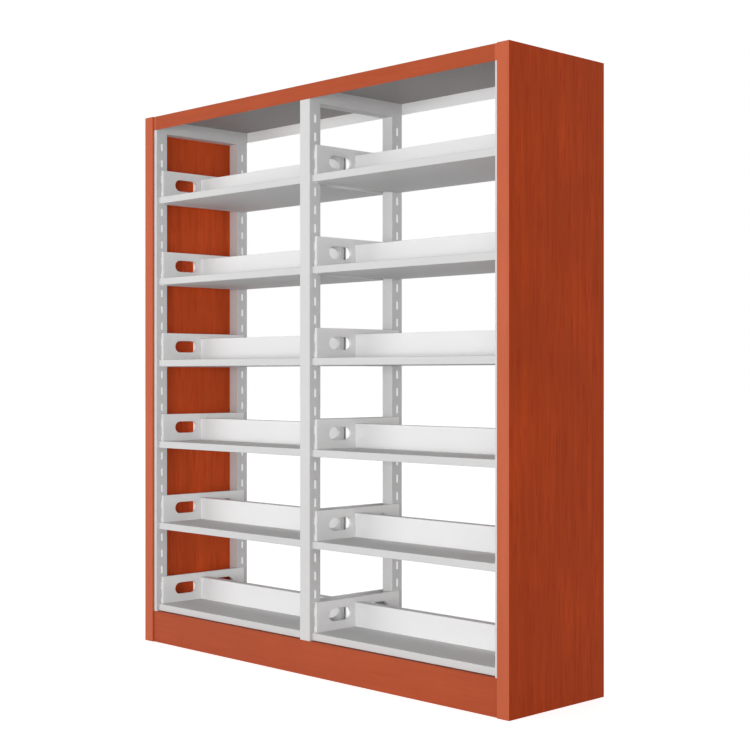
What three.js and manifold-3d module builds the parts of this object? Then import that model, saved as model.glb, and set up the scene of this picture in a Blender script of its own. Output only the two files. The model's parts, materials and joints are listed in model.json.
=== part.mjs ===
// Double sided library shelving: two bays of hung steel shelves between slotted upright frames,
// with wood end panels, fascias and kick plates. Millimetres, +Z up, front towards -Y.
// The origin is on the floor, under the middle of the shelving.
import * as THREE from "three";
import { mergeVertices } from "three/addons/utils/BufferGeometryUtils.js";
import Module from "manifold-3d";

const wasm = await Module();
wasm.setup();

// Overall sizes.
const HEIGHT = 2000;
const BAY_CLEAR_WIDTH = 825;
const FRAME_DEPTH = 444;

// Upright frames: square posts of slotted tube, tied by channel rails.
const POST_SIZE = 50;
const POST_WALL = 2;
const RAIL_HEIGHT = 50;
const RAIL_WALL = 2;
const BOTTOM_RAIL_HEIGHT = 40;
const BOTTOM_RAIL_UNDERSIDE = 30;
const SLOT_PITCH = 62;
const SLOT_LENGTH = 28;
const SLOT_WIDTH = 8;
const FIRST_SLOT_CENTRE = 149;
const LEAST_METAL_UNDER_RAIL = 15;

// Wood end panels: a board with edges that wrap round the posts.
const BOARD_THICKNESS = 12;
const EDGE_WIDTH = 48;
const EDGE_THICKNESS = 8;

// Top panels, fascias and kick plates.
const TOP_PANEL_THICKNESS = 12;
const TOP_PANEL_SHEET = 1;
const FASCIA_HEIGHT = 51;
const FASCIA_THICKNESS = 1.5;
const KICK_PLATE_THICKNESS = 1.5;
const KICK_PLATE_GAP = 2;
const KICK_PLATE_FLANGE = 22;

// Shelves: a folded tube of sheet, open at both ends, notched round the hangers.
const SLOTS_PER_LEVEL = 5;
const SHELF_ABOVE_HOOK_SEAT = 9;
const SHELF_DEPTH = 422;
const SHELF_THICKNESS = 25;
const SHELF_SHEET = 1;

// Hangers: a pressed plate with folded edges, rimmed oval holes, a ledge and hooks.
const HANGER_SHEET = 1.5;
const HANGER_STAND_OFF = 10;
const HANGER_RISE = 102;
const HOLE_LENGTH = 104;
const HOLE_HEIGHT = 44;
const HOLE_CENTRE_RISE = 51;
const HOLE_SPACING = 179;
const HOLE_ARC_STEPS = 3;
const LEDGE_WIDTH = 16;
const LEDGE_END_CLEARANCE = 8;
const HOOK_THICKNESS = 2;
const HOOK_NECK_HEIGHT = 14;
const HOOK_DROP = 10;
const HOOK_TONGUE = 2.5;

// Book stops: an inverted channel that passes through a window in each hanger.
const STOP_WIDTH = 36;
const STOP_HEIGHT = 83;
const STOP_SHEET = 1.2;
const STOP_TONGUE_LENGTH = 39;

// Clearances.
const SEAT_GAP = 0.3;
const SIDE_GAP = 0.6;

// Places worked out from the sizes above.
const HALF_DEPTH = FRAME_DEPTH / 2;
const FRAME_SPACING = BAY_CLEAR_WIDTH + POST_SIZE;
const FRAME_HALF_LENGTH = FRAME_SPACING + POST_SIZE / 2;
const POST_TOP = HEIGHT - TOP_PANEL_THICKNESS - SEAT_GAP;
const RAIL_UNDERSIDE = POST_TOP - RAIL_HEIGHT;
const POST_CENTRE_DEPTH = HALF_DEPTH - POST_SIZE / 2;
const BOARD_OUTER_FACE = SEAT_GAP + BOARD_THICKNESS;
const EDGE_INNER_FACE = BOARD_OUTER_FACE - EDGE_WIDTH;
const FACE_DEPTH = HALF_DEPTH + SEAT_GAP;
const SLOT_ROOM = RAIL_UNDERSIDE - LEAST_METAL_UNDER_RAIL - SLOT_LENGTH / 2 - FIRST_SLOT_CENTRE;
const SLOT_COUNT = Math.floor(SLOT_ROOM / SLOT_PITCH) + 1;
const LEVEL_PITCH = SLOT_PITCH * SLOTS_PER_LEVEL;
const FIRST_SHELF_TOP = FIRST_SLOT_CENTRE - SLOT_LENGTH / 2 + SHELF_ABOVE_HOOK_SEAT;
const LEVEL_ROOM = RAIL_UNDERSIDE - HANGER_RISE - FIRST_SHELF_TOP;
const LEVEL_COUNT = Math.floor(LEVEL_ROOM / LEVEL_PITCH) + 1;
const KICK_PLATE_HEIGHT = FIRST_SHELF_TOP - SHELF_THICKNESS - KICK_PLATE_GAP;
const HANGER_DEPTH = 2 * POST_CENTRE_DEPTH + HOOK_THICKNESS;
const HANGER_FOOT = -SHELF_THICKNESS - SEAT_GAP - HANGER_SHEET;

const BAYS = [
  { name: "left", centre: -FRAME_SPACING / 2, endSide: -1 },
  { name: "right", centre: FRAME_SPACING / 2, endSide: 1 },
];

const WOOD_SIDE = new THREE.MeshStandardMaterial({ color: 0x9a3d20, roughness: 0.55, metalness: 0 });
const WOOD_FRONT = new THREE.MeshStandardMaterial({ color: 0xb05236, roughness: 0.55, metalness: 0 });
const LIGHT_GREY = new THREE.MeshStandardMaterial({ color: 0xd6d6d6, roughness: 0.45, metalness: 0.1 });
const OFF_WHITE = new THREE.MeshStandardMaterial({ color: 0xebebeb, roughness: 0.45, metalness: 0.1 });

// A box between two corners.
function box([x0, y0, z0], [x1, y1, z1]) {
  const geometry = new THREE.BoxGeometry(x1 - x0, y1 - y0, z1 - z0);
  return geometry.translate((x0 + x1) / 2, (y0 + y1) / 2, (z0 + z1) / 2);
}

// A closed three.js geometry as a solid that can be joined and cut.
function solid(geometry) {
  const bare = geometry.clone();
  bare.deleteAttribute("normal");
  bare.deleteAttribute("uv");
  const merged = mergeVertices(bare, 1e-4);
  const vertProperties = merged.attributes.position.array;
  const triVerts = new Uint32Array(merged.index.array);
  return new wasm.Manifold(new wasm.Mesh({ numProp: 3, vertProperties, triVerts }));
}

// The first geometry with the others added to it.
function join(first, ...others) {
  return others.reduce((sum, geometry) => sum.add(solid(geometry)), solid(first));
}

// A solid as a geometry with flat faces.
function faceted(made) {
  const mesh = made.getMesh();
  const geometry = new THREE.BufferGeometry();
  geometry.setAttribute("position", new THREE.BufferAttribute(mesh.vertProperties, 3));
  geometry.setIndex(new THREE.BufferAttribute(mesh.triVerts, 1));
  geometry.computeVertexNormals();
  return geometry;
}

// A shape drawn across (horizontal) and up, thickened along X from one plane to another.
function slabAcross(shape, fromX, toX, curveSegments) {
  const depth = toX - fromX;
  const geometry = new THREE.ExtrudeGeometry(shape, { depth, curveSegments, bevelEnabled: false });
  const turn = new THREE.Matrix4().makeBasis(
    new THREE.Vector3(0, 1, 0),
    new THREE.Vector3(0, 0, 1),
    new THREE.Vector3(1, 0, 0),
  );
  return geometry.applyMatrix4(turn).translate(fromX, 0, 0);
}

// A shape drawn along X and up, thickened along Y from one plane to another.
function slabAlong(shape, fromY, toY) {
  const geometry = new THREE.ExtrudeGeometry(shape, { depth: toY - fromY, bevelEnabled: false });
  return geometry.rotateX(Math.PI / 2).translate(0, toY, 0);
}

// A hole with round ends, longer than it is high.
function oval(centreY, centreZ, length, height) {
  const radius = height / 2;
  const halfStraight = length / 2 - radius;
  const path = new THREE.Path();
  path.absarc(centreY + halfStraight, centreZ, radius, -Math.PI / 2, Math.PI / 2, false);
  path.absarc(centreY - halfStraight, centreZ, radius, Math.PI / 2, (3 * Math.PI) / 2, false);
  path.closePath();
  return path;
}

// A rectangle about the middle of the depth, as a shape or as a hole in one.
function rectangle(Kind, half, low, high) {
  const path = new Kind();
  path.moveTo(-half, low);
  path.lineTo(half, low);
  path.lineTo(half, high);
  path.lineTo(-half, high);
  path.closePath();
  return path;
}

// A polygon through the given points.
function polygon(points) {
  return new THREE.Shape(points.map(([across, up]) => new THREE.Vector2(across, up)));
}

// One slotted post of an upright frame, centred on X and Y. sides holds 1, -1 or both.
function postSolid(sides) {
  const half = POST_SIZE / 2;
  const inner = half - POST_WALL;
  let post = solid(box([-half, -half, 0], [half, half, POST_TOP]));
  post = post.subtract(solid(box([-inner, -inner, -1], [inner, inner, POST_TOP + 1])));
  for (const side of sides) {
    for (let slot = 0; slot < SLOT_COUNT; slot += 1) {
      const centre = FIRST_SLOT_CENTRE + slot * SLOT_PITCH;
      const nearX = Math.min(side * inner, side * half) - POST_WALL / 2;
      const farX = Math.max(side * inner, side * half) + POST_WALL / 2;
      const cutter = box(
        [nearX, -SLOT_WIDTH / 2, centre - SLOT_LENGTH / 2],
        [farX, SLOT_WIDTH / 2, centre + SLOT_LENGTH / 2],
      );
      post = post.subtract(solid(cutter));
    }
  }
  return post;
}

// A channel rail between the posts of one frame, open towards openUp (1 is up, -1 is down).
function railSolid(underside, height, openUp) {
  const half = POST_SIZE / 2;
  const reach = HALF_DEPTH - POST_SIZE + POST_WALL / 2;
  const top = underside + height;
  const trough = half - RAIL_WALL;
  const troughLow = openUp > 0 ? underside + RAIL_WALL : underside - RAIL_WALL;
  const troughHigh = openUp > 0 ? top + RAIL_WALL : top - RAIL_WALL;
  const clear = HALF_DEPTH - POST_SIZE;
  const outside = solid(box([-half, -reach, underside], [half, reach, top]));
  return outside.subtract(solid(box([-trough, -clear, troughLow], [trough, clear, troughHigh])));
}

// A welded upright frame: two posts, a top rail and a bottom rail.
function uprightFrame(sides) {
  const post = postSolid(sides);
  const frame = post
    .translate(0, -POST_CENTRE_DEPTH, 0)
    .add(post.translate(0, POST_CENTRE_DEPTH, 0))
    .add(railSolid(RAIL_UNDERSIDE, RAIL_HEIGHT, 1))
    .add(railSolid(BOTTOM_RAIL_UNDERSIDE, BOTTOM_RAIL_HEIGHT, -1));
  return faceted(frame);
}

// A box on the front (side -1) or the rear (side 1), outwards from the plane of the posts' faces.
function facing(side, thickness, [x0, z0], [x1, z1]) {
  const near = side * FACE_DEPTH;
  const far = side * (FACE_DEPTH + thickness);
  return box([x0, Math.min(near, far), z0], [x1, Math.max(near, far), z1]);
}

// A kick plate at the front (side -1) or the rear (side 1), its top folded in between the posts.
function kickPlate(side) {
  const halfLength = FRAME_HALF_LENGTH + EDGE_INNER_FACE - SEAT_GAP;
  const flangeHalf = BAY_CLEAR_WIDTH / 2 - SIDE_GAP;
  const flangeLow = KICK_PLATE_HEIGHT - KICK_PLATE_THICKNESS;
  const near = side * (FACE_DEPTH - KICK_PLATE_FLANGE);
  const far = side * (FACE_DEPTH + KICK_PLATE_THICKNESS);
  const [lowY, highY] = [near, far].sort((a, b) => a - b);
  const flanges = BAYS.map(({ centre }) =>
    box([centre - flangeHalf, lowY, flangeLow], [centre + flangeHalf, highY, KICK_PLATE_HEIGHT]),
  );
  const sheet = facing(side, KICK_PLATE_THICKNESS, [-halfLength, 0], [halfLength, KICK_PLATE_HEIGHT]);
  return faceted(join(sheet, ...flanges));
}

// The end panel of the right end. X is measured from the outer face of the end frame.
function endPanel() {
  const boardHalfDepth = FACE_DEPTH + EDGE_THICKNESS;
  const cornerEnd = SEAT_GAP - POST_SIZE;
  const cornerBottom = HEIGHT - FASCIA_HEIGHT;
  const pieces = [box([SEAT_GAP, -boardHalfDepth, 0], [BOARD_OUTER_FACE, boardHalfDepth, HEIGHT])];
  for (const side of [-1, 1]) {
    pieces.push(
      facing(side, EDGE_THICKNESS, [EDGE_INNER_FACE, 0], [BOARD_OUTER_FACE, HEIGHT]),
      facing(side, FASCIA_THICKNESS, [cornerEnd, cornerBottom], [BOARD_OUTER_FACE, HEIGHT]),
    );
  }
  return faceted(join(...pieces));
}

// A flat tube of sheet along X, open at both ends, around the given section.
function flatTube(halfLength, halfDepth, low, high, sheet) {
  const outside = solid(box([-halfLength, -halfDepth, low], [halfLength, halfDepth, high]));
  const inside = box(
    [-halfLength - 1, -halfDepth + sheet, low + sheet],
    [halfLength + 1, halfDepth - sheet, high - sheet],
  );
  return outside.subtract(solid(inside));
}

// One shelf, from the middle of its bay, with its top at zero.
function shelf() {
  const halfLength = BAY_CLEAR_WIDTH / 2 - SIDE_GAP;
  const bodyHalfLength = BAY_CLEAR_WIDTH / 2 - HANGER_STAND_OFF - SIDE_GAP;
  const notchHalfDepth = HANGER_DEPTH / 2 + SIDE_GAP;
  let tube = flatTube(halfLength, SHELF_DEPTH / 2, -SHELF_THICKNESS, 0, SHELF_SHEET);
  for (const side of [-1, 1]) {
    const [lowX, highX] = [side * bodyHalfLength, side * (halfLength + 1)].sort((a, b) => a - b);
    const notch = box(
      [lowX, -notchHalfDepth, -SHELF_THICKNESS - 1],
      [highX, notchHalfDepth, 1],
    );
    tube = tube.subtract(solid(notch));
  }
  return faceted(tube);
}

// The outline of a hanger's folded end, along X and up: its flange and the two hooks, from the foot up.
function hookedFlangeOutline() {
  const behindWall = -POST_WALL - SEAT_GAP;
  const hookEnd = behindWall - HOOK_TONGUE;
  const points = [
    [HANGER_STAND_OFF, HANGER_RISE],
    [HANGER_STAND_OFF, HANGER_FOOT],
    [SEAT_GAP, HANGER_FOOT],
  ];
  for (const slot of [0, 1]) {
    const seat = slot * SLOT_PITCH - SHELF_ABOVE_HOOK_SEAT + SEAT_GAP;
    points.push(
      [SEAT_GAP, seat],
      [behindWall, seat],
      [behindWall, seat - HOOK_DROP],
      [hookEnd, seat - HOOK_DROP],
      [hookEnd, seat + HOOK_NECK_HEIGHT],
      [SEAT_GAP, seat + HOOK_NECK_HEIGHT],
    );
  }
  points.push([SEAT_GAP, HANGER_RISE]);
  return polygon(points);
}

// One hanger. X runs from the face of the post into the bay, and zero height is the shelf's top.
function hanger() {
  const half = HANGER_DEPTH / 2;
  const plateHalf = half - HOOK_THICKNESS;
  const plateX = HANGER_STAND_OFF - HANGER_SHEET;
  const windowHalf = STOP_WIDTH / 2 + SIDE_GAP;
  const windowTop = STOP_HEIGHT + SEAT_GAP + SIDE_GAP;
  const outline = rectangle(THREE.Shape, plateHalf, HANGER_FOOT, HANGER_RISE);
  outline.holes.push(rectangle(THREE.Path, windowHalf, 0, windowTop));
  const pocket = rectangle(THREE.Shape, half, HANGER_FOOT + HANGER_SHEET, HANGER_RISE - HANGER_SHEET);
  for (const side of [-1, 1]) {
    const centreY = (side * HOLE_SPACING) / 2;
    const rimLength = HOLE_LENGTH + 2 * HANGER_SHEET;
    const rimHeight = HOLE_HEIGHT + 2 * HANGER_SHEET;
    outline.holes.push(oval(centreY, HOLE_CENTRE_RISE, HOLE_LENGTH, HOLE_HEIGHT));
    pocket.holes.push(oval(centreY, HOLE_CENTRE_RISE, rimLength, rimHeight));
  }
  let pan = solid(slabAcross(outline, SEAT_GAP, HANGER_STAND_OFF, HOLE_ARC_STEPS));
  pan = pan.subtract(solid(slabAcross(pocket, SEAT_GAP - 1, plateX, HOLE_ARC_STEPS)));
  const ledge = box(
    [plateX, -half + LEDGE_END_CLEARANCE, HANGER_FOOT],
    [HANGER_STAND_OFF + LEDGE_WIDTH, half - LEDGE_END_CLEARANCE, HANGER_FOOT + HANGER_SHEET],
  );
  const flange = hookedFlangeOutline();
  pan = pan
    .add(solid(ledge))
    .add(solid(slabAlong(flange, -half, -plateHalf)))
    .add(solid(slabAlong(flange, plateHalf, half)));
  return faceted(pan);
}

// One book stop, from the middle of its bay, standing on a shelf whose top is at zero.
function bookStop() {
  const leftEnd = -BAY_CLEAR_WIDTH / 2 - STOP_TONGUE_LENGTH;
  const rightEnd = BAY_CLEAR_WIDTH / 2 - SIDE_GAP;
  const half = STOP_WIDTH / 2;
  const top = SEAT_GAP + STOP_HEIGHT;
  const inner = half - STOP_SHEET;
  const section = polygon([
    [-half, SEAT_GAP],
    [-half, top],
    [half, top],
    [half, SEAT_GAP],
    [inner, SEAT_GAP],
    [inner, top - STOP_SHEET],
    [-inner, top - STOP_SHEET],
    [-inner, SEAT_GAP],
  ]);
  return slabAcross(section, leftEnd, rightEnd);
}

const shelving = new THREE.Group();

// A named mesh with its own material, added to a group.
function place(parent, name, geometry, material) {
  const mesh = new THREE.Mesh(geometry, material.clone());
  mesh.name = name;
  parent.add(mesh);
  return mesh;
}

// The three upright frames.
const frames = [
  { name: "left", centre: -FRAME_SPACING, sides: [1] },
  { name: "middle", centre: 0, sides: [-1, 1] },
  { name: "right", centre: FRAME_SPACING, sides: [-1] },
];
for (const { name, centre, sides } of frames) {
  place(shelving, `upright_frame_${name}`, uprightFrame(sides), LIGHT_GREY).position.x = centre;
}

// The two end panels, the left one turned half round.
const rightPanel = place(shelving, "end_panel_right", endPanel(), WOOD_SIDE);
rightPanel.position.x = FRAME_HALF_LENGTH;
const leftPanel = place(shelving, "end_panel_left", endPanel(), WOOD_SIDE);
leftPanel.position.x = -FRAME_HALF_LENGTH;
leftPanel.rotation.z = Math.PI;

// The fascias and the kick plates, front and rear.
const fasciaHalf = FRAME_HALF_LENGTH - POST_SIZE;
for (const [name, side] of [["front", -1], ["rear", 1]]) {
  const fascia = facing(
    side,
    FASCIA_THICKNESS,
    [-fasciaHalf, HEIGHT - FASCIA_HEIGHT],
    [fasciaHalf, HEIGHT],
  );
  place(shelving, `fascia_${name}`, fascia, WOOD_FRONT);
  place(shelving, `kick_plate_${name}`, kickPlate(side), WOOD_FRONT);
}

// The two top panels, then each bay's levels from the floor up.
for (const { name, centre, endSide } of BAYS) {
  const topHalf = FRAME_HALF_LENGTH / 2 - SEAT_GAP;
  const topPanel = flatTube(topHalf, HALF_DEPTH, POST_TOP + SEAT_GAP, HEIGHT, TOP_PANEL_SHEET);
  const topMesh = place(shelving, `top_panel_${name}`, faceted(topPanel), LIGHT_GREY);
  topMesh.position.x = (endSide * FRAME_HALF_LENGTH) / 2;

  for (let level = 0; level < LEVEL_COUNT; level += 1) {
    const carried = new THREE.Group();
    carried.position.set(centre, 0, FIRST_SHELF_TOP + level * LEVEL_PITCH);
    shelving.add(carried);
    const label = `${name}_${level + 1}`;
    place(carried, `shelf_${label}`, shelf(), LIGHT_GREY);
    place(carried, `book_stop_${label}`, bookStop(), OFF_WHITE);
    for (const side of [-1, 1]) {
      const hangerName = `hanger_${label}_${side === endSide ? "end" : "middle"}`;
      const hangerMesh = place(carried, hangerName, hanger(), OFF_WHITE);
      hangerMesh.position.x = (side * BAY_CLEAR_WIDTH) / 2;
      hangerMesh.rotation.z = side > 0 ? Math.PI : 0;
    }
  }
}

export default shelving;
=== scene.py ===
"""Looks of a double sided library shelving unit: two bays of six hung shelves between wood end panels.

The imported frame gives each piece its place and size. Each class below dresses one sub-assembly. It takes
the flat-faced solids of the frame, rounds their edges as bent sheet and milled board are rounded, and
paints them.
Lengths are in metres. X runs along the shelves, Y from the front to the rear, and Z up.
"""

from __future__ import annotations

import json
import logging
import math
from dataclasses import dataclass, field
from enum import Enum
from typing import Any

import bmesh
import bpy
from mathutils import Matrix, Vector
from mathutils.bvhtree import BVHTree

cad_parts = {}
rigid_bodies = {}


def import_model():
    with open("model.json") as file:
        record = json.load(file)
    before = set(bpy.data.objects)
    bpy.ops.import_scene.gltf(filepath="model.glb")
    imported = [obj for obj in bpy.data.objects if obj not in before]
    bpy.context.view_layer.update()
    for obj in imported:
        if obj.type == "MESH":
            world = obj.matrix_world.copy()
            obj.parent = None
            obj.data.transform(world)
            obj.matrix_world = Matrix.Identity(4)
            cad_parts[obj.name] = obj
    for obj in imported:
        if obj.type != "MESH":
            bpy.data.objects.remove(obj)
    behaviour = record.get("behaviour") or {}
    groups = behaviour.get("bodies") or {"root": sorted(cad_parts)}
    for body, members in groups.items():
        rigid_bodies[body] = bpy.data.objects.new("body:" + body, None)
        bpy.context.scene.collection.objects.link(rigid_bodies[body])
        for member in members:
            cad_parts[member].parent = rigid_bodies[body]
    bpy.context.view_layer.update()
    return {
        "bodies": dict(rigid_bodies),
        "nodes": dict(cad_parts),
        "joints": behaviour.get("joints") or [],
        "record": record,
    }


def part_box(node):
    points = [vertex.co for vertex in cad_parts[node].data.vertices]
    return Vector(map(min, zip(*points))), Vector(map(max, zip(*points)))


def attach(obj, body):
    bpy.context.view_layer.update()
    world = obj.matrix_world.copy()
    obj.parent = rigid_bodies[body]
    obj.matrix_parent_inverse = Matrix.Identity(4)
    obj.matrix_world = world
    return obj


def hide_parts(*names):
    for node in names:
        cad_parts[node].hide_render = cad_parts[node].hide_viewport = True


LOG = logging.getLogger("shelving")
SHARP_ANGLE = math.radians(30)
FLAT_ANGLE = math.radians(0.5)
SMOOTH_ANGLE = math.radians(50)
WELD_DISTANCE = 2e-6
SPECK = 1e-5
SEAM_DIGITS = 5
FACING = 0.5
LEVEL = 0.99
PORE_STAIN = (0.80, 0.55, 0.45)
DUST_COLOUR = (0.62, 0.60, 0.57, 1.0)
WHITE = (1.0, 1.0, 1.0, 1.0)

Colour = tuple[float, float, float]
Place = tuple[float, float, float]


class Grain(Enum):
    """Direction of the wood's fibres, as the stretch of its pattern along X, Y and Z."""

    UPRIGHT = (1.0, 1.0, 0.06)
    LEVEL = (0.06, 1.0, 1.0)


class Slot(Enum):
    """Material slots of the record, one named for each piece."""

    GREY_STEEL = "grey_steel"
    WHITE_STEEL = "white_steel"
    WOOD_BOARD = "wood_board"
    WOOD_PRINT_STEEL = "wood_print_steel"


class Graph:
    """Short way to add and join the nodes of one shader tree."""

    def __init__(self, tree: bpy.types.NodeTree) -> None:
        """Keeps the tree.

        Args:
            tree: the node tree that the nodes go into.
        """
        self.tree = tree

    def add(self, kind: str, inputs: dict[str | int, Any] | None = None, **settings: Any) -> bpy.types.Node:
        """Adds a node, sets its properties, and fills or joins its inputs.

        Args:
            kind: the node's type name.
            inputs: values or output sockets, by the name or number of the input.
            settings: properties of the node itself.

        Returns:
            The new node.
        """
        node = self.tree.nodes.new(kind)
        for name, value in settings.items():
            setattr(node, name, value)
        for key, value in (inputs or {}).items():
            self.fill(node.inputs[key], value)
        return node

    def fill(self, target: bpy.types.NodeSocket, value: Any) -> None:
        """Joins an input to an output socket, or sets its value.

        Args:
            target: the input.
            value: an output socket, or the value to set.
        """
        if isinstance(value, bpy.types.NodeSocket):
            self.tree.links.new(value, target)
        else:
            target.default_value = value

    def blend(self, factor: Any, low: Any, high: Any) -> bpy.types.NodeSocket:
        """Mixes two colours.

        Args:
            factor: share of the second colour.
            low: the first colour, or its socket.
            high: the second colour, or its socket.

        Returns:
            The socket of the mixed colour.
        """
        node = self.add("ShaderNodeMix", {0: factor, 6: low, 7: high}, data_type="RGBA")
        return node.outputs[2]

    def stretch(
        self, value: bpy.types.NodeSocket, span: tuple[float, float, float, float]
    ) -> bpy.types.NodeSocket:
        """Maps one range of a value to another, held inside it.

        Args:
            value: the socket to map.
            span: lowest and highest input, then the outputs they get.

        Returns:
            The socket of the mapped value.
        """
        node = self.add(
            "ShaderNodeMapRange", {"Value": value, 1: span[0], 2: span[1], 3: span[2], 4: span[3]}
        )
        return node.outputs["Result"]

    def noise(self, place: bpy.types.NodeSocket, scale: float, detail: float = 2.0) -> bpy.types.NodeSocket:
        """Adds a noise texture.

        Args:
            place: the coordinates it is read at.
            scale: its features per metre.
            detail: its finer layers.

        Returns:
            The socket of its value.
        """
        node = self.add("ShaderNodeTexNoise", {"Vector": place, "Scale": scale, "Detail": detail})
        return node.outputs["Fac"]

    def backdrop_rays(self) -> bpy.types.NodeSocket:
        """One for the rays that show the white surroundings: seen, mirrored or let through.

        Returns:
            The socket of the value, which is zero for rays that only bring light.
        """
        path = self.add("ShaderNodeLightPath").outputs
        rays = path["Is Camera Ray"]
        for kind in ("Is Glossy Ray", "Is Transmission Ray"):
            either = self.add("ShaderNodeMath", {0: rays, 1: path[kind]}, operation="MAXIMUM")
            rays = either.outputs["Value"]
        return rays


class Effect:
    """A pattern that more than one material uses, kept as a node group."""

    def __init__(self, name: str, inputs: tuple[str, ...], outputs: dict[str, str]) -> None:
        """Starts an empty group that reads one or more positions.

        Args:
            name: the group's name.
            inputs: the names of the positions.
            outputs: the socket type of each output, by its name.
        """
        self.tree = bpy.data.node_groups.new(name, "ShaderNodeTree")
        for position in inputs:
            self.tree.interface.new_socket(position, in_out="INPUT", socket_type="NodeSocketVector")
        for output, kind in outputs.items():
            self.tree.interface.new_socket(output, in_out="OUTPUT", socket_type=kind)
        self.graph = Graph(self.tree)
        self.start = self.graph.add("NodeGroupInput").outputs
        self.end = self.graph.add("NodeGroupOutput").inputs

    def give(self, **values: bpy.types.NodeSocket) -> None:
        """Joins sockets to the group's outputs, by name."""
        for name, socket in values.items():
            self.graph.fill(self.end[name], socket)

    def use(self, graph: Graph, **positions: bpy.types.NodeSocket) -> bpy.types.Node:
        """Adds the group to a material.

        Args:
            graph: the material's graph.
            positions: the coordinates it is read at, by the name of the input.

        Returns:
            The group's node.
        """
        return graph.add("ShaderNodeGroup", positions, node_tree=self.tree)


class PowderTexture(Effect):
    """The fine orange peel of a baked powder coat, and the slow drift of its tone."""

    def __init__(self) -> None:
        """Builds the group."""
        super().__init__(
            "powder_texture", ("Position",), {"Drift": "NodeSocketFloat", "Normal": "NodeSocketVector"}
        )
        graph = self.graph
        drift = graph.noise(self.start["Position"], 2.3, 3.0)
        peel = graph.noise(self.start["Position"], 620.0, 2.0)
        bump = graph.add("ShaderNodeBump", {"Strength": 0.10, "Distance": 0.0004, "Height": peel})
        self.give(Drift=graph.stretch(drift, (0.3, 0.7, 0.0, 1.0)), Normal=bump.outputs["Normal"])


class WoodFigure(Effect):
    """Cloudy patches, soft streaks and short dark pores along the fibres."""

    def __init__(self) -> None:
        """Builds the group, which reads the plain position and the one drawn out along the fibres."""
        super().__init__(
            "wood_figure",
            ("Position", "Fibre"),
            {
                "Cloud": "NodeSocketFloat",
                "Streak": "NodeSocketFloat",
                "Pore": "NodeSocketFloat",
                "Normal": "NodeSocketVector",
            },
        )
        graph = self.graph
        cloud = graph.noise(self.start["Position"], 4.2, 3.0)
        streak = graph.noise(self.start["Fibre"], 34.0, 4.0)
        pore = graph.noise(self.start["Fibre"], 150.0, 3.0)
        bump = graph.add("ShaderNodeBump", {"Strength": 0.12, "Distance": 0.0003, "Height": pore})
        self.give(
            Cloud=graph.stretch(cloud, (0.33, 0.67, 0.0, 1.0)),
            Streak=graph.stretch(streak, (0.34, 0.66, 0.0, 1.0)),
            Pore=graph.stretch(pore, (0.52, 0.68, 0.0, 1.0)),
            Normal=bump.outputs["Normal"],
        )


class SettledDust(Effect):
    """Thin cloudy film on faces that look up."""

    def __init__(self) -> None:
        """Builds the group."""
        super().__init__("settled_dust", ("Position",), {"Mask": "NodeSocketFloat"})
        graph = self.graph
        normal = graph.add("ShaderNodeNewGeometry").outputs["Normal"]
        upward = graph.add("ShaderNodeSeparateXYZ", {"Vector": normal}).outputs["Z"]
        facing = graph.stretch(upward, (0.6, 1.0, 0.0, 1.0))
        cloud = graph.stretch(graph.noise(self.start["Position"], 11.0, 4.0), (0.35, 0.75, 0.0, 1.0))
        product = graph.add("ShaderNodeMath", {0: facing, 1: cloud}, operation="MULTIPLY")
        self.give(Mask=product.outputs["Value"])


@dataclass(frozen=True)
class Effects:
    """The shared patterns, each built once."""

    powder: PowderTexture
    wood: WoodFigure
    dust: SettledDust


def shaded(colour: Colour, share: float) -> tuple[float, float, float, float]:
    """A colour made darker or lighter.

    Args:
        colour: the linear colour.
        share: what each channel is multiplied by.

    Returns:
        The colour with full opacity.
    """
    red, green, blue = (min(1.0, channel * share) for channel in colour)
    return (red, green, blue, 1.0)


@dataclass(frozen=True)
class PowderCoat:
    """A satin powder coat on sheet steel, which glows as painted light where its emission is above zero."""

    name: str
    colour: Colour
    roughness: float = 0.60
    roughness_drift: float = 0.04
    drift: float = 0.02
    dust: float = 0.05
    gloss: float = 0.07
    # Emission strength: above zero it is painted light, the coat shining though it is no lamp.
    painted_glow: float = 0.0

    def material(self, effects: Effects) -> bpy.types.Material:
        """Makes the material.

        Args:
            effects: the shared patterns.

        Returns:
            The new material.
        """
        made = bpy.data.materials.new(self.name)
        made.use_nodes = True
        graph = Graph(made.node_tree)
        place = graph.add("ShaderNodeTexCoord").outputs["Object"]
        powder = effects.powder.use(graph, Position=place)
        dust = effects.dust.use(graph, Position=place).outputs["Mask"]
        drift = powder.outputs["Drift"]
        paint = graph.blend(drift, shaded(self.colour, 1 - self.drift), shaded(self.colour, 1 + self.drift))
        film = graph.stretch(dust, (0.0, 1.0, 0.0, self.dust))
        surface = made.node_tree.nodes["Principled BSDF"]
        graph.fill(surface.inputs["Base Color"], graph.blend(film, paint, DUST_COLOUR))
        smoothest = self.roughness - self.roughness_drift
        rough = graph.stretch(drift, (0.0, 1.0, smoothest, self.roughness + self.roughness_drift))
        graph.fill(surface.inputs["Roughness"], rough)
        graph.fill(surface.inputs["Normal"], powder.outputs["Normal"])
        surface.inputs["Specular IOR Level"].default_value = self.gloss
        # White emission, zero on plain coats; above zero it is painted light.
        surface.inputs["Emission Color"].default_value = WHITE
        surface.inputs["Emission Strength"].default_value = self.painted_glow
        return made


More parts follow.
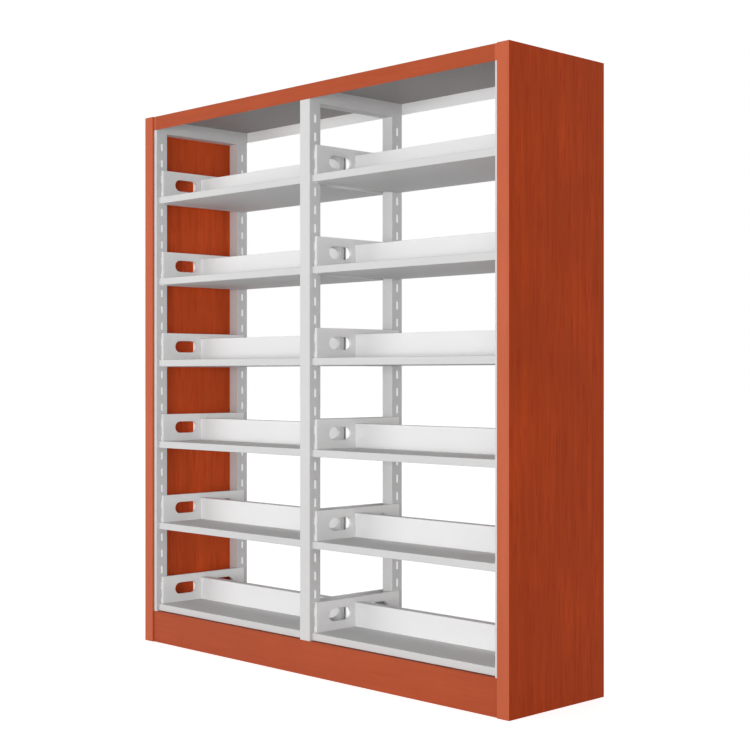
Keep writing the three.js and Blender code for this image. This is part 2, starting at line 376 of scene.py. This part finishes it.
@dataclass(frozen=True)
class WoodFinish:
    """Stained wood, or a print of it, under a satin lacquer."""

    name: str
    colour: Colour
    grain: Grain
    contrast: float = 0.15
    pores: float = 0.80
    roughness: float = 0.42
    dull_streaks: float = 0.06
    gloss: float = 0.09

    def material(self, effects: Effects) -> bpy.types.Material:
        """Makes the material.

        Args:
            effects: the shared patterns.

        Returns:
            The new material.
        """
        made = bpy.data.materials.new(self.name)
        made.use_nodes = True
        graph = Graph(made.node_tree)
        place = graph.add("ShaderNodeTexCoord").outputs["Object"]
        fibre = graph.add("ShaderNodeVectorMath", {0: place, 1: self.grain.value}, operation="MULTIPLY")
        figure = effects.wood.use(graph, Position=place, Fibre=fibre.outputs["Vector"])
        dark = shaded(self.colour, 1 - self.contrast)
        light = shaded(self.colour, 1 + self.contrast)
        patches = graph.blend(figure.outputs["Cloud"], shaded(self.colour, 1 - 0.5 * self.contrast), light)
        streaked = graph.blend(figure.outputs["Streak"], dark, patches)
        pore = graph.stretch(figure.outputs["Pore"], (0.0, 1.0, 0.0, self.pores))
        stain = tuple(channel * share for channel, share in zip(self.colour, PORE_STAIN)) + (1.0,)
        surface = made.node_tree.nodes["Principled BSDF"]
        graph.fill(surface.inputs["Base Color"], graph.blend(pore, streaked, stain))
        dullest = self.roughness + self.dull_streaks
        rough = graph.stretch(figure.outputs["Streak"], (0.0, 1.0, dullest, self.roughness))
        graph.fill(surface.inputs["Roughness"], rough)
        graph.fill(surface.inputs["Normal"], figure.outputs["Normal"])
        surface.inputs["Specular IOR Level"].default_value = self.gloss
        return made


class Palette:
    """Every finish of the shelving, each made once, among them painted light on the tube insides, the
    stop's end and the inner boards, and painted shade under the top panels.
    """

    def __init__(self) -> None:
        """Makes the shared patterns and the materials."""
        effects = Effects(PowderTexture(), WoodFigure(), SettledDust())
        self.grey = PowderCoat("grey_powder_coat", (0.68, 0.68, 0.68)).material(effects)
        self.shelf = PowderCoat("shelf_powder_coat", (0.66, 0.66, 0.66)).material(effects)
        # Painted shade: a darker grey for the top panels' downward faces, standing in for the shade under
        # them.
        self.painted_underside_shade = PowderCoat("top_underside_painted_shade", (0.39, 0.37, 0.37)).material(effects)
        # Painted light: the tubes' inner walls glow so the slots show bright, as if light fell inside.
        self.painted_light_hollow = PowderCoat("post_inside_painted_light", (0.30, 0.30, 0.30), painted_glow=0.50).material(effects)
        self.white = PowderCoat("white_powder_coat", (0.90, 0.90, 0.90)).material(effects)
        self.stop = PowderCoat("stop_powder_coat", (0.90, 0.90, 0.90)).material(effects)
        # Painted light: the stop's end behind the hanger glows so it shows bright through the holes.
        self.painted_light_tongue = PowderCoat("stop_tongue_painted_light", (0.90, 0.90, 0.90), painted_glow=0.40).material(effects)
        self.board = WoodFinish("board_wood", (0.46, 0.053, 0.005), Grain.UPRIGHT).material(effects)
        # Painted light: a lighter copy of the wood for the faces towards the bays, standing in for light
        # that the bays' shade keeps off them.
        inner = WoodFinish("inner_board_painted_light", (0.67, 0.090, 0.018), Grain.UPRIGHT)
        self.painted_light_inner_board = inner.material(effects)
        edging = WoodFinish("edging_wood", (0.55, 0.121, 0.053), Grain.UPRIGHT, contrast=0.04, pores=0.16)
        self.edging = edging.material(effects)
        printed = WoodFinish("printed_wood", (0.44, 0.081, 0.029), Grain.LEVEL, contrast=0.06, pores=0.22)
        self.printed = printed.material(effects)


def centre(edge: bmesh.types.BMEdge) -> Vector:
    """The middle of an edge."""
    return (edge.verts[0].co + edge.verts[1].co) / 2


def corners(shape: bmesh.types.BMesh) -> tuple[Vector, Vector]:
    """The lowest and the highest corner of a shape's box."""
    low = Vector(min(corner.co[axis] for corner in shape.verts) for axis in range(3))
    high = Vector(max(corner.co[axis] for corner in shape.verts) for axis in range(3))
    return low, high


@dataclass(frozen=True)
class Rounding:
    """Radii that soften the sharp edges of a flat-faced solid.

    An edge is a fold where the solid runs on for more than broad_face behind both its faces, measured at
    the depth of the skin. Folds shorter than shortest_fold stay sharp, and so do edges that lie further
    inside the outline than pierced_margin.
    """

    broad: float = 0.0015
    thin: float = 0.0003
    steps: int = 3
    broad_face: float = 0.006
    shortest_fold: float = 0.005
    skin: float = 0.0001
    pierced_margin: float = 1.0

    def apply(self, shape: bmesh.types.BMesh) -> None:
        """Rounds the folds between broad faces, then breaks the edges of the sheet.

        Args:
            shape: the solid, welded and with whole flat faces.
        """
        solid = BVHTree.FromBMesh(shape)
        folds = [
            edge
            for edge in self.outer_edges(shape)
            if edge.calc_length() > self.shortest_fold and self.breadth(edge, solid) > self.broad_face
        ]
        self.bevel(shape, folds, self.broad, self.steps)
        if self.thin:
            self.bevel(shape, self.outer_edges(shape), self.thin, 1)
        bmesh.ops.dissolve_degenerate(shape, dist=SPECK, edges=shape.edges[:])

    def outer_edges(self, shape: bmesh.types.BMesh) -> list[bmesh.types.BMEdge]:
        """The sharp edges that point out of the solid, without those of holes pierced in its sides.

        Args:
            shape: the solid.

        Returns:
            The edges that are rounded.
        """
        low, high = corners(shape)
        return [
            edge
            for edge in shape.edges
            if edge.is_manifold
            and edge.is_convex
            and edge.calc_face_angle() > SHARP_ANGLE
            and not self.is_pierced(centre(edge), low, high)
        ]

    def is_pierced(self, place: Vector, low: Vector, high: Vector) -> bool:
        """Whether a place lies so far inside the solid's outline that it belongs to a pierced hole.

        Args:
            place: the middle of an edge or a face.
            low: lowest corner of the solid's box.
            high: highest corner of the solid's box.

        Returns:
            True at holes.
        """
        depth = min(place.y - low.y, high.y - place.y, place.z - low.z, high.z - place.z)
        return depth >= self.pierced_margin

    def breadth(self, edge: bmesh.types.BMEdge, solid: BVHTree) -> float:
        """How far the solid runs on from an edge, just under its two faces.

        Args:
            edge: an edge of two faces.
            solid: the solid, to measure in.

        Returns:
            The shorter of the two ways: the thickness of the sheet at a cut edge, and more at a fold.
        """
        normals = [face.normal for face in edge.link_faces]
        start = centre(edge) - self.skin * sum(normals, Vector())
        hits = [solid.ray_cast(start, -normal) for normal in normals]
        return min(distance or 0.0 for _, _, _, distance in hits)

    @staticmethod
    def bevel(shape: bmesh.types.BMesh, edges: list[bmesh.types.BMEdge], radius: float, steps: int) -> None:
        """Rounds some edges.

        Args:
            shape: the solid.
            edges: the edges to round.
            radius: the radius of the rounding.
            steps: the faces across it.
        """
        if edges:
            bmesh.ops.bevel(
                shape,
                geom=edges,
                offset=radius,
                offset_type="OFFSET",
                segments=steps,
                profile=0.5,
                affect="EDGES",
                clamp_overlap=True,
                loop_slide=False,
                material=-1,
            )


class Dresser:
    """Makes shown pieces out of the frame's nodes."""

    def __init__(self, frame: dict[str, Any], palette: Palette) -> None:
        """Keeps the frame and the finishes.

        Args:
            palette: the finishes.
        """
        self.nodes = frame["nodes"]
        self.palette = palette
        self.count = 0

    def solid(self, node: str) -> bmesh.types.BMesh:
        """A welded copy of a node, its triangles joined into whole flat faces.

        Args:
            node: the node's name.

        Returns:
            The copy, to be changed and shown.
        """
        shape = bmesh.new()
        shape.from_mesh(self.nodes[node].data)
        bmesh.ops.remove_doubles(shape, verts=shape.verts[:], dist=WELD_DISTANCE)
        self.flatten(shape)
        for face in shape.faces:
            face.material_index = 0
        return shape

    @staticmethod
    def flatten(shape: bmesh.types.BMesh) -> None:
        """Joins neighbouring faces that lie in one plane, up to the marked seams.

        Args:
            shape: the solid.
        """
        bmesh.ops.dissolve_limit(
            shape,
            angle_limit=FLAT_ANGLE,
            verts=shape.verts[:],
            edges=shape.edges[:],
            use_dissolve_boundaries=False,
            delimit={"SEAM"},
        )
        shape.normal_update()

    def part(self, shape: bmesh.types.BMesh, places: set[float]) -> None:
        """Parts the flat faces across Y, so that none of them runs round an opening.

        Args:
            shape: the solid, with whole flat faces.
            places: where the seams go, along Y.
        """
        for place in sorted(places):
            every = shape.verts[:] + shape.edges[:] + shape.faces[:]
            cut = bmesh.ops.bisect_plane(
                shape, geom=every, dist=WELD_DISTANCE, plane_co=(0.0, place, 0.0), plane_no=(0.0, 1.0, 0.0)
            )
            for item in cut["geom_cut"]:
                if isinstance(item, bmesh.types.BMEdge):
                    item.seam = True
        self.flatten(shape)

    def show(
        self, shape: bmesh.types.BMesh, node: str, body: str, slot: Slot, finishes: list[bpy.types.Material]
    ) -> bpy.types.Object:
        """Shows a shape in place of a node.

        Args:
            shape: the finished shape, which is freed.
            node: the node it stands for.
            body: the body it moves with.
            slot: the record's material slot; not used.
            finishes: the materials that its faces name by number.

        Returns:
            The new piece.
        """
        for edge in shape.edges:
            edge.smooth = edge.is_manifold and edge.calc_face_angle() < SMOOTH_ANGLE
        for face in shape.faces:
            face.smooth = True
        mesh = bpy.data.meshes.new(node + ".look")
        shape.to_mesh(mesh)
        shape.free()
        piece = bpy.data.objects.new(node + ".look", mesh)
        bpy.context.scene.collection.objects.link(piece)
        for finish in finishes:
            mesh.materials.append(finish)
        weighted = piece.modifiers.new("even_faces", "WEIGHTED_NORMAL")
        weighted.keep_sharp = True
        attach(piece, body)
        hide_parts(node)
        self.count += 1
        return piece


@dataclass
class UprightFrames:
    """Three welded frames of slotted square tube."""

    dresser: Dresser
    names: tuple[str, ...] = ("left", "middle", "right")
    post_size: float = 0.050
    post_wall: float = 0.002
    wall_slack: float = 0.0002
    slot_corner: float = 0.0024
    rounding: Rounding = field(default_factory=lambda: Rounding(broad=0.0026, thin=0.0))

    def build(self) -> None:
        """Dresses each frame."""
        palette = self.dresser.palette
        for name in self.names:
            node = "upright_frame_" + name
            shape = self.dresser.solid(node)
            self.dresser.part(shape, self.seams(shape, node))
            # Painted light inside the tubes, seen through the slots.
            self.paint_light_inside(shape, node)
            Rounding.bevel(shape, self.slot_corners(shape, node), self.slot_corner, self.rounding.steps)
            self.rounding.apply(shape)
            self.dresser.show(shape, node, "carcass", Slot.GREY_STEEL, [palette.grey, palette.painted_light_hollow])

    def seams(self, shape: bmesh.types.BMesh, node: str) -> set[float]:
        """Where the flat faces are parted along Y: at the sides of the slots and at the ends of the rails.

        Args:
            shape: the frame.
            node: its node, which gives the places of its posts.

        Returns:
            The places of the seams.
        """
        low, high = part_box(node)
        sides = {round(edge.verts[0].co.y, SEAM_DIGITS) for edge in self.slot_corners(shape, node)}
        return sides | {low.y + self.post_size, high.y - self.post_size}

    def paint_light_inside(self, shape: bmesh.types.BMesh, node: str) -> None:
        """Gives the inner walls of the tubes a dark coat that glows: painted light, so the slots show
        bright as if lit inside.

        Args:
            shape: the frame.
            node: its node, which gives the places of its posts.
        """
        low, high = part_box(node)
        inset = self.post_wall / 2
        for face in shape.faces:
            middle = face.calc_center_median()
            in_width = low.x + inset < middle.x < high.x - inset
            from_face = min(middle.y - low.y, high.y - middle.y)
            if in_width and inset < from_face < self.post_size - inset and abs(face.normal.z) < FACING:
                face.material_index = 1

    def slot_corners(self, shape: bmesh.types.BMesh, node: str) -> list[bmesh.types.BMEdge]:
        """The short edges through the wall at the corners of the slots.

        Args:
            shape: the frame.
            node: its node, which gives the places of its posts.

        Returns:
            The edges to round, without those where the rails meet the posts.
        """
        low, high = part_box(node)
        found = []
        for edge in shape.edges:
            first, second = (corner.co for corner in edge.verts)
            through_wall = abs(abs(first.x - second.x) - self.post_wall) < self.wall_slack
            straight = edge.calc_length() < self.post_wall + self.wall_slack
            in_post = min(first.y - low.y, high.y - first.y) < self.post_size - self.post_wall
            if through_wall and straight and in_post and edge.is_manifold and not edge.is_convex:
                found.append(edge)
        return found


@dataclass
class EndPanels:
    """Two wood end panels, edged at the front and the rear."""

    dresser: Dresser
    names: tuple[str, ...] = ("left", "right")
    edge_depth: float = 0.02
    rounding: Rounding = field(
        default_factory=lambda: Rounding(
            broad=0.0016, thin=0.0004, shortest_fold=0.01, pierced_margin=0.005
        )
    )

    def build(self) -> None:
        """Dresses each panel."""
        palette = self.dresser.palette
        for name in self.names:
            node = "end_panel_" + name
            shape = self.dresser.solid(node)
            low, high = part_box(node)
            inward = 1.0 if name == "left" else -1.0
            for face in shape.faces:
                middle = face.calc_center_median()
                from_edge = min(middle.y - low.y, high.y - middle.y)
                tall = self.height(face) > (high.z - low.z) * 0.5
                if from_edge < self.edge_depth and not (tall and face.normal.x * inward < -FACING):
                    face.material_index = 1
                elif face.normal.x * inward > FACING:
                    # Faces towards the bays take the lighter wood: painted light.
                    face.material_index = 2
            self.rounding.apply(shape)
            finishes = [palette.board, palette.edging, palette.painted_light_inner_board]
            self.dresser.show(shape, node, "carcass", Slot.WOOD_BOARD, finishes)

    @staticmethod
    def height(face: bmesh.types.BMFace) -> float:
        """How tall a face is."""
        levels = [corner.co.z for corner in face.verts]
        return max(levels) - min(levels)


@dataclass
class Facings:
    """Fascias at the top and kick plates at the floor, printed as wood on the outside only."""

    dresser: Dresser
    kinds: tuple[str, ...] = ("fascia", "kick_plate")
    sides: tuple[str, ...] = ("front", "rear")
    rounding: Rounding = field(default_factory=lambda: Rounding(broad=0.0008, thin=0.0004))

    def build(self) -> None:
        """Dresses each sheet."""
        palette = self.dresser.palette
        for kind in self.kinds:
            for side in self.sides:
                node = f"{kind}_{side}"
                shape = self.dresser.solid(node)
                inward = 1.0 if side == "front" else -1.0
                for face in shape.faces:
                    face.material_index = int(face.normal.y * inward > FACING)
                self.rounding.apply(shape)
                finishes = [palette.printed, palette.white]
                self.dresser.show(shape, node, "carcass", Slot.WOOD_PRINT_STEEL, finishes)


@dataclass
class TopPanels:
    """Two folded steel top panels, one over each bay."""

    dresser: Dresser
    names: tuple[str, ...] = ("left", "right")
    rounding: Rounding = field(default_factory=lambda: Rounding(broad=0.0016, thin=0.0003))

    def build(self) -> None:
        """Dresses each panel."""
        palette = self.dresser.palette
        for name in self.names:
            node = "top_panel_" + name
            shape = self.dresser.solid(node)
            # Faces that look down take the darker grey: painted shade.
            for face in shape.faces:
                face.material_index = int(face.normal.z < -FACING)
            self.rounding.apply(shape)
            self.dresser.show(shape, node, "carcass", Slot.GREY_STEEL, [palette.grey, palette.painted_underside_shade])


@dataclass
class Levels:
    """Twelve hung levels: a shelf, its two hangers and its book stop."""

    dresser: Dresser
    bays: tuple[str, ...] = ("left", "right")
    levels: int = 6
    tongue_length: float = 0.0375
    ledge_reach: float = 0.0155
    ledge_height: float = 0.002
    shelf_rounding: Rounding = field(default_factory=lambda: Rounding(broad=0.0018, thin=0.0))
    hanger_rounding: Rounding = field(
        default_factory=lambda: Rounding(broad=0.0014, thin=0.0, shortest_fold=0.02, pierced_margin=0.012)
    )
    stop_rounding: Rounding = field(default_factory=lambda: Rounding(broad=0.0016, thin=0.0))

    def build(self) -> None:
        """Dresses each level."""
        palette = self.dresser.palette
        shelf = self.pattern("shelf_left_1", self.shelf_rounding)
        stop = self.pattern("book_stop_left_2", self.stop_rounding)
        self.mark_painted_light_tongue(stop)
        facing_right = self.pattern("hanger_left_1_end", self.hanger_rounding)
        facing_left = self.pattern("hanger_left_1_middle", self.hanger_rounding)
        self.mark_ledge(facing_right, 1.0)
        self.mark_ledge(facing_left, -1.0)
        hanger_finishes = [palette.white, palette.shelf]
        # The second finish glows: painted light on the stop's end behind the hanger.
        stop_finishes = [palette.stop, palette.painted_light_tongue]
        for bay in self.bays:
            ends = {"end": facing_right, "middle": facing_left}
            if bay == "right":
                ends = {"end": facing_left, "middle": facing_right}
            for level in range(1, self.levels + 1):
                label = f"{bay}_{level}"
                body = "level_" + label
                self.copy(shelf, "shelf_" + label, body, Slot.GREY_STEEL, [palette.shelf])
                for end, pattern in ends.items():
                    self.copy(pattern, f"hanger_{label}_{end}", body, Slot.WHITE_STEEL, hanger_finishes)
                self.copy(stop, "book_stop_" + label, "stop_" + label, Slot.WHITE_STEEL, stop_finishes)
        for pattern in (shelf, stop, facing_right, facing_left):
            pattern.free()

    def pattern(self, node: str, rounding: Rounding) -> bmesh.types.BMesh:
        """A rounded piece that its twins are copied from.

        Args:
            node: the node that gives the shape.
            rounding: the radii of its folds and edges.

        Returns:
            The shape, with its lowest corner at the origin.
        """
        shape = self.dresser.solid(node)
        self.dresser.part(shape, self.opening_middles(shape, rounding))
        rounding.apply(shape)
        bmesh.ops.translate(shape, verts=shape.verts[:], vec=-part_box(node)[0])
        return shape

    @staticmethod
    def opening_middles(shape: bmesh.types.BMesh, rounding: Rounding) -> set[float]:
        """Where the middles of a hanger's openings are along Y.

        Args:
            shape: the hanger.
            rounding: its radii, which tell holes from the outline.

        Returns:
            The middles of the level walls inside the outline.
        """
        low, high = corners(shape)
        middles = set()
        for face in shape.faces:
            middle = face.calc_center_bounds()
            if abs(face.normal.z) > LEVEL and rounding.is_pierced(middle, low, high):
                middles.add(round(middle.y, SEAM_DIGITS))
        return middles

    def mark_ledge(self, hanger: bmesh.types.BMesh, inward: float) -> None:
        """Gives the ledge that carries the shelf the shelf's own finish.

        Args:
            hanger: the hanger's pattern.
            inward: one where the shelf lies towards positive X, and minus one where it lies the other way.
        """
        low, high = corners(hanger)
        tip = high.x if inward > 0 else low.x
        for face in hanger.faces:
            middle = face.calc_center_bounds()
            on_ledge = abs(tip - middle.x) < self.ledge_reach and middle.z < low.z + self.ledge_height
            face.material_index = int(on_ledge)

    def mark_painted_light_tongue(self, stop: bmesh.types.BMesh) -> None:
        """Gives the stop's end that lies behind the left hanger a coat that glows: painted light, so it
        shows bright through the hanger's holes.

        Args:
            stop: the stop's pattern.
        """
        every = stop.verts[:] + stop.edges[:] + stop.faces[:]
        cut = Vector((self.tongue_length, 0.0, 0.0))
        along = Vector((1.0, 0.0, 0.0))
        bmesh.ops.bisect_plane(stop, geom=every, dist=WELD_DISTANCE, plane_co=cut, plane_no=along)
        for face in stop.faces:
            face.material_index = int(face.calc_center_median().x < self.tongue_length)

    def copy(
        self,
        pattern: bmesh.types.BMesh,
        node: str,
        body: str,
        slot: Slot,
        finishes: list[bpy.types.Material],
    ) -> None:
        """Shows a copy of a pattern at a node's place.

        Args:
            pattern: the shape, with its lowest corner at the origin.
            node: the node it stands for.
            body: the body it moves with.
            slot: the record's material slot.
            finishes: the materials that its faces name by number.
        """
        shape = pattern.copy()
        bmesh.ops.translate(shape, verts=shape.verts[:], vec=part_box(node)[0])
        self.dresser.show(shape, node, body, slot, finishes)


@dataclass(frozen=True)
class Softbox:
    """A large flat lamp that faces the middle of the shelving."""

    name: str
    azimuth: float
    width: float
    power: float
    tall: float = 1.4
    distance: float = 8.0
    height: float = 0.95
    gloss: bool = True

    def build(self) -> None:
        """Adds the lamp, level with its own middle."""
        data = bpy.data.lights.new(self.name, "AREA")
        data.shape = "RECTANGLE"
        data.size = self.width
        data.size_y = self.tall
        data.energy = self.power
        lamp = bpy.data.objects.new(self.name, data)
        bpy.context.scene.collection.objects.link(lamp)
        turn = math.radians(self.azimuth)
        away = Vector((math.sin(turn), -math.cos(turn), 0.0))
        lamp.location = away * self.distance + Vector((0.0, 0.0, self.height))
        lamp.rotation_euler = away.to_track_quat("Z", "Y").to_euler()
        lamp.visible_glossy = self.gloss


@dataclass
class Studio:
    """White surroundings, a pale floor, soft lamps and the camera."""

    camera_place: Place = (3.677, -3.480, 1.016)
    camera_azimuth: float = 45.68
    lens: float = 69.52
    sensor: float = 36.0
    ambient: float = 0.51
    floor_size: float = 60.0
    floor_colour: float = 0.80
    floor_lift: float = 0.68
    lamps: tuple[Softbox, ...] = (
        Softbox("key_softbox", azimuth=24.0, width=8.0, power=255.0),
        Softbox("fill_softbox", azimuth=-35.0, width=5.0, power=150.0),
        Softbox("rear_softbox", azimuth=150.0, width=6.0, power=70.0, gloss=False),
    )

    def build(self) -> None:
        """Sets up the whole studio."""
        self.surroundings()
        self.floor()
        self.camera()
        for lamp in self.lamps:
            lamp.build()
        bpy.context.scene.view_settings.view_transform = "Standard"

    def surroundings(self) -> None:
        """White where it is seen, and a plain soft light for everything else."""
        world = bpy.data.worlds.new("surroundings")
        world.use_nodes = True
        bpy.context.scene.world = world
        graph = Graph(world.node_tree)
        strength = graph.stretch(graph.backdrop_rays(), (0.0, 1.0, self.ambient, 1.0))
        graph.fill(world.node_tree.nodes["Background"].inputs["Color"], WHITE)
        graph.fill(world.node_tree.nodes["Background"].inputs["Strength"], strength)

    def floor(self) -> None:
        """A pale floor, lifted to white where it is seen and no shadow falls on it."""
        shape = bmesh.new()
        bmesh.ops.create_grid(shape, x_segments=1, y_segments=1, size=self.floor_size / 2)
        mesh = bpy.data.meshes.new("floor")
        shape.to_mesh(mesh)
        shape.free()
        floor = bpy.data.objects.new("floor", mesh)
        bpy.context.scene.collection.objects.link(floor)
        made = bpy.data.materials.new("pale_floor")
        made.use_nodes = True
        graph = Graph(made.node_tree)
        surface = made.node_tree.nodes["Principled BSDF"]
        surface.inputs["Base Color"].default_value = (self.floor_colour,) * 3 + (1.0,)
        surface.inputs["Roughness"].default_value = 0.9
        surface.inputs["Specular IOR Level"].default_value = 0.0
        surface.inputs["Emission Color"].default_value = WHITE
        lift = graph.stretch(graph.backdrop_rays(), (0.0, 1.0, 0.0, self.floor_lift))
        graph.fill(surface.inputs["Emission Strength"], lift)
        mesh.materials.append(made)

    def camera(self) -> None:
        """A level camera, placed by the photograph's edges."""
        data = bpy.data.cameras.new("camera")
        data.sensor_width = self.sensor
        data.lens = self.lens
        camera = bpy.data.objects.new("camera", data)
        bpy.context.scene.collection.objects.link(camera)
        camera.location = self.camera_place
        camera.rotation_euler = (math.radians(90), 0.0, math.radians(self.camera_azimuth))
        bpy.context.scene.camera = camera


def main() -> None:
    """Builds the pieces, then the studio."""
    logging.basicConfig(level=logging.INFO, format="%(message)s")
    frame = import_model()
    dresser = Dresser(frame, Palette())
    for assembly in (
        UprightFrames(dresser),
        EndPanels(dresser),
        Facings(dresser),
        TopPanels(dresser),
        Levels(dresser),
    ):
        before = dresser.count
        assembly.build()
        LOG.info("%s: %d pieces", type(assembly).__name__, dresser.count - before)
    Studio().build()


if __name__ == "__main__":
    main()
